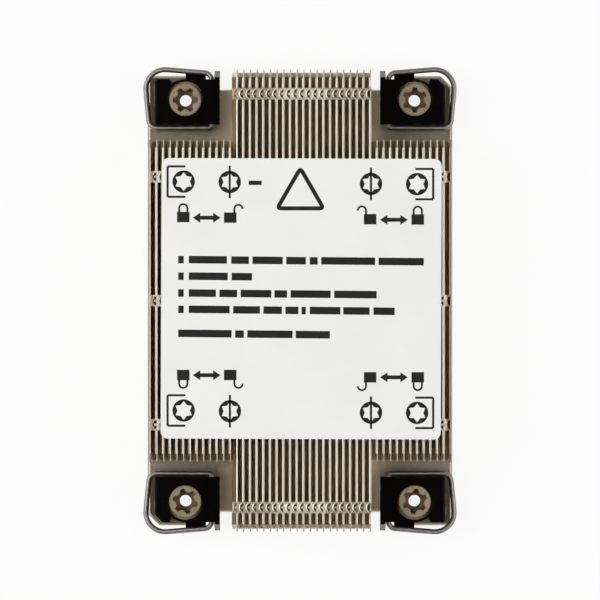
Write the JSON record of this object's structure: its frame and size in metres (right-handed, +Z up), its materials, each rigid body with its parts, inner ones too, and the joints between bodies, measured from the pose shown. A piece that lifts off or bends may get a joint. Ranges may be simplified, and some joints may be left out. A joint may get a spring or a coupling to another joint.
{
  "type": "passive server processor heat sink",
  "caption": "Low passive heat sink for a rack server's processor: zip-hooked sheet fins on a base plate, a corner nut in each lug and a swinging locking wire over it.",
  "frame": {"origin": "on the underside, which is the contact face, below the middle of the whole", "axes": "+Z up from the contact face to the fin tops, +Y to the rear along the fins and the airflow, +X to the right across the fins"},
  "size_m": [0.0806, 0.1202, 0.0255],
  "materials": {
    "base_plate": "nickel-plated, fine grain, warm grey",
    "fin_sheet": "nickel-plated sheet, satin",
    "black_moulding": "moulded, fine grain, half matt",
    "tan_moulding": "moulded, satin",
    "spring_wire": "drawn wire, smooth",
    "label_film": "printed film, white with dark grey signs"
  },
  "bodies": {
    "heatsink": {"base_plate": "base_plate", "fin_01": "fin_sheet", "fin_02": "fin_sheet", "fin_03": "fin_sheet", "fin_04": "fin_sheet", "fin_05": "fin_sheet", "fin_06": "fin_sheet", "fin_07": "fin_sheet", "fin_08": "fin_sheet", "fin_09": "fin_sheet", "fin_10": "fin_sheet", "fin_11": "fin_sheet", "fin_12": "fin_sheet", "fin_13": "fin_sheet", "fin_14": "fin_sheet", "fin_15": "fin_sheet", "fin_16": "fin_sheet", "fin_17": "fin_sheet", "fin_18": "fin_sheet", "fin_19": "fin_sheet", "fin_20": "fin_sheet", "fin_21": "fin_sheet", "fin_22": "fin_sheet", "fin_23": "fin_sheet", "fin_24": "fin_sheet", "fin_25": "fin_sheet", "fin_26": "fin_sheet", "fin_27": "fin_sheet", "fin_28": "fin_sheet", "fin_29": "fin_sheet", "fin_30": "fin_sheet", "fin_31": "fin_sheet", "fin_32": "fin_sheet", "fin_33": "fin_sheet", "fin_34": "fin_sheet", "fin_35": "fin_sheet", "fin_36": "fin_sheet", "fin_37": "fin_sheet", "fin_38": "fin_sheet", "fin_39": "fin_sheet", "fin_40": "fin_sheet", "fin_41": "fin_sheet", "fin_42": "fin_sheet", "fin_43": "fin_sheet", "fin_44": "fin_sheet", "fin_45": "fin_sheet", "fin_46": "fin_sheet", "nut_housing_rear_left": "black_moulding", "nut_housing_rear_right": "black_moulding", "nut_housing_front_left": "black_moulding", "nut_housing_front_right": "black_moulding", "top_label": "label_film"},
    "wire_rear_left": {"locking_wire_rear_left": "spring_wire"},
    "nut_rear_left": {"captive_nut_rear_left": "tan_moulding"},
    "wire_rear_right": {"locking_wire_rear_right": "spring_wire"},
    "nut_rear_right": {"captive_nut_rear_right": "tan_moulding"},
    "wire_front_left": {"locking_wire_front_left": "spring_wire"},
    "nut_front_left": {"captive_nut_front_left": "tan_moulding"},
    "wire_front_right": {"locking_wire_front_right": "spring_wire"},
    "nut_front_right": {"captive_nut_front_right": "tan_moulding"}
  },
  "joints": [
    {"name": "wire_swing_rear_left", "type": "hinge", "parent": "heatsink", "child": "wire_rear_left", "pos_m": [-0.02275, 0.0515, 0.009], "axis": [0, 1, 0], "range_deg": [0, 96]},
    {"name": "wire_swing_rear_right", "type": "hinge", "parent": "heatsink", "child": "wire_rear_right", "pos_m": [0.02275, 0.0515, 0.009], "axis": [0, -1, 0], "range_deg": [0, 96]},
    {"name": "wire_swing_front_left", "type": "hinge", "parent": "heatsink", "child": "wire_front_left", "pos_m": [-0.02275, -0.0515, 0.009], "axis": [0, 1, 0], "range_deg": [0, 96]},
    {"name": "wire_swing_front_right", "type": "hinge", "parent": "heatsink", "child": "wire_front_right", "pos_m": [0.02275, -0.0515, 0.009], "axis": [0, -1, 0], "range_deg": [0, 96]},
    {"name": "nut_turn_rear_left", "type": "hinge", "parent": "heatsink", "child": "nut_rear_left", "pos_m": [-0.02945, 0.0515, 0.009], "axis": [0, 0, 1], "continuous": true},
    {"name": "nut_turn_rear_right", "type": "hinge", "parent": "heatsink", "child": "nut_rear_right", "pos_m": [0.02945, 0.0515, 0.009], "axis": [0, 0, 1], "continuous": true},
    {"name": "nut_turn_front_left", "type": "hinge", "parent": "heatsink", "child": "nut_front_left", "pos_m": [-0.02945, -0.0515, 0.009], "axis": [0, 0, 1], "continuous": true},
    {"name": "nut_turn_front_right", "type": "hinge", "parent": "heatsink", "child": "nut_front_right", "pos_m": [0.02945, -0.0515, 0.009], "axis": [0, 0, 1], "continuous": true}
  ]
}
